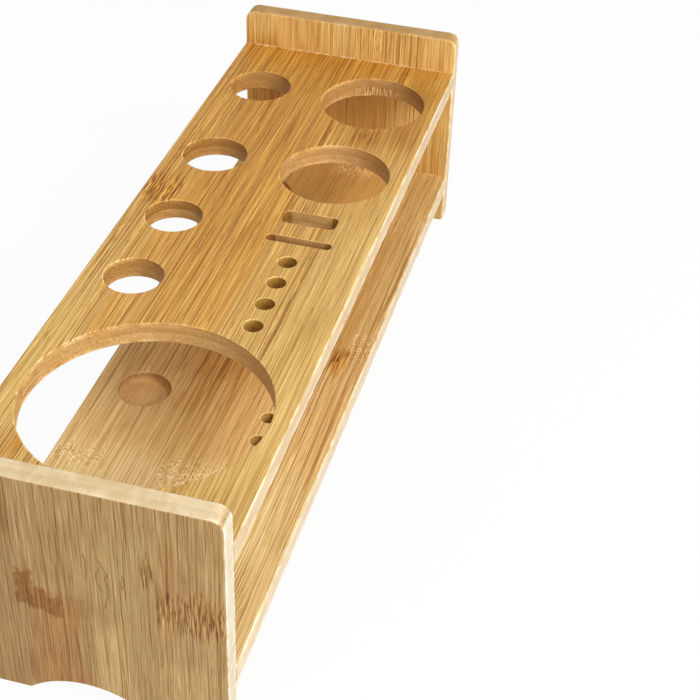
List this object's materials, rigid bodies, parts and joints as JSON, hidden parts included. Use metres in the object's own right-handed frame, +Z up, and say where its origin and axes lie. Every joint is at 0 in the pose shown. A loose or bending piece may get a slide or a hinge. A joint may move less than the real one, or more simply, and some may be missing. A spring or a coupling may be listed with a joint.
{
  "type": "bar tool organizer",
  "caption": "Bamboo stand that holds a bartender's shaker, jiggers, pourers, picks and tongs in a pierced top shelf over a pocketed lower shelf, between end panels.",
  "frame": {"origin": "centre of the stand's outline, on the floor it stands on", "axes": "+Z up, X along the stand's length with the large shaker hole at -X, the row of small holes, slots and jigger holes at -Y"},
  "size_m": [0.367, 0.11, 0.106],
  "materials": {
    "panel_bamboo": "satin",
    "top_shelf_bamboo": "satin",
    "lower_shelf_bamboo": "satin",
    "dowel_beech": "matte"
  },
  "bodies": {
    "root": {"left_end_panel": "panel_bamboo", "right_end_panel": "panel_bamboo", "top_shelf": "top_shelf_bamboo", "lower_shelf": "lower_shelf_bamboo", "top_left_front_dowel": "dowel_beech", "top_left_back_dowel": "dowel_beech", "top_right_front_dowel": "dowel_beech", "top_right_back_dowel": "dowel_beech", "lower_left_front_dowel": "dowel_beech", "lower_left_back_dowel": "dowel_beech", "lower_right_front_dowel": "dowel_beech", "lower_right_back_dowel": "dowel_beech"}
  },
  "joints": []
}
